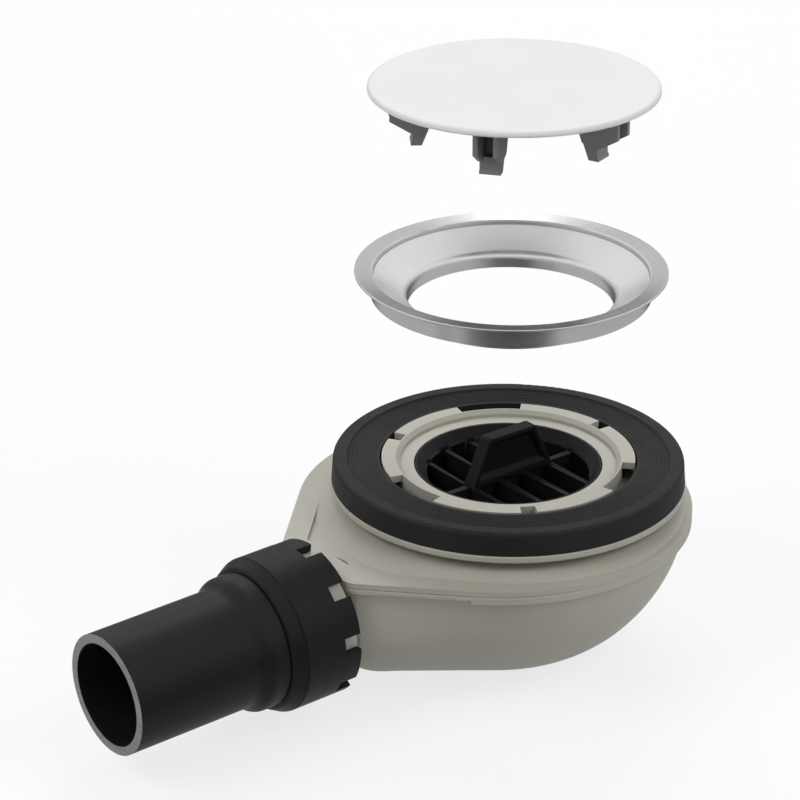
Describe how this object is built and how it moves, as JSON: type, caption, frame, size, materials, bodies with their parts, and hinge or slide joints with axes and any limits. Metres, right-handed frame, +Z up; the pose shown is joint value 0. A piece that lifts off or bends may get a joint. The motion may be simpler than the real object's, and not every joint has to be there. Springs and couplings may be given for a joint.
{
  "type": "shower trap",
  "caption": "Shower trap: a welded bowl with tray seal, hair comb and compression outlet pipe, and a steel flange ring and clip-in cover lifted off above the drain.",
  "frame": {"origin": "on the drain axis, in the plane of the bowl's flat underside", "axes": "+Z up along the drain axis, +X towards the outlet pipe, +Y to the left when looking along +X"},
  "size_m": [0.2779, 0.1654, 0.2446],
  "materials": {
    "beige_plastic": "satin moulded",
    "seal_rubber": "satin",
    "black_plastic": "satin moulded",
    "dark_grey_plastic": "satin moulded",
    "stainless_steel": "polished sheet",
    "white_plastic": "gloss moulded",
    "cover_plastic": "satin gloss",
    "clip_grey_plastic": "satin moulded"
  },
  "bodies": {
    "trap": {"lower_bowl": "beige_plastic", "upper_housing": "beige_plastic", "tray_seal": "seal_rubber", "dip_tube": "black_plastic", "dip_tube_seal": "seal_rubber", "comb_insert": "dark_grey_plastic", "outlet_socket": "beige_plastic", "union_nut": "black_plastic", "outlet_pipe": "black_plastic", "outlet_seal": "seal_rubber", "slip_washer": "white_plastic"},
    "ring": {"flange_ring": "stainless_steel", "funnel_liner": "white_plastic"},
    "cover": {"cover_disc": "cover_plastic", "cover_clips": "clip_grey_plastic"}
  },
  "joints": [
    {"name": "ring_lift", "type": "slide", "parent": "trap", "child": "ring", "axis": [0, 0, 1], "range_m": [-0.07085, 0]},
    {"name": "cover_lift", "type": "slide", "parent": "ring", "child": "cover", "axis": [0, 0, 1], "range_m": [-0.0718, 0]}
  ]
}
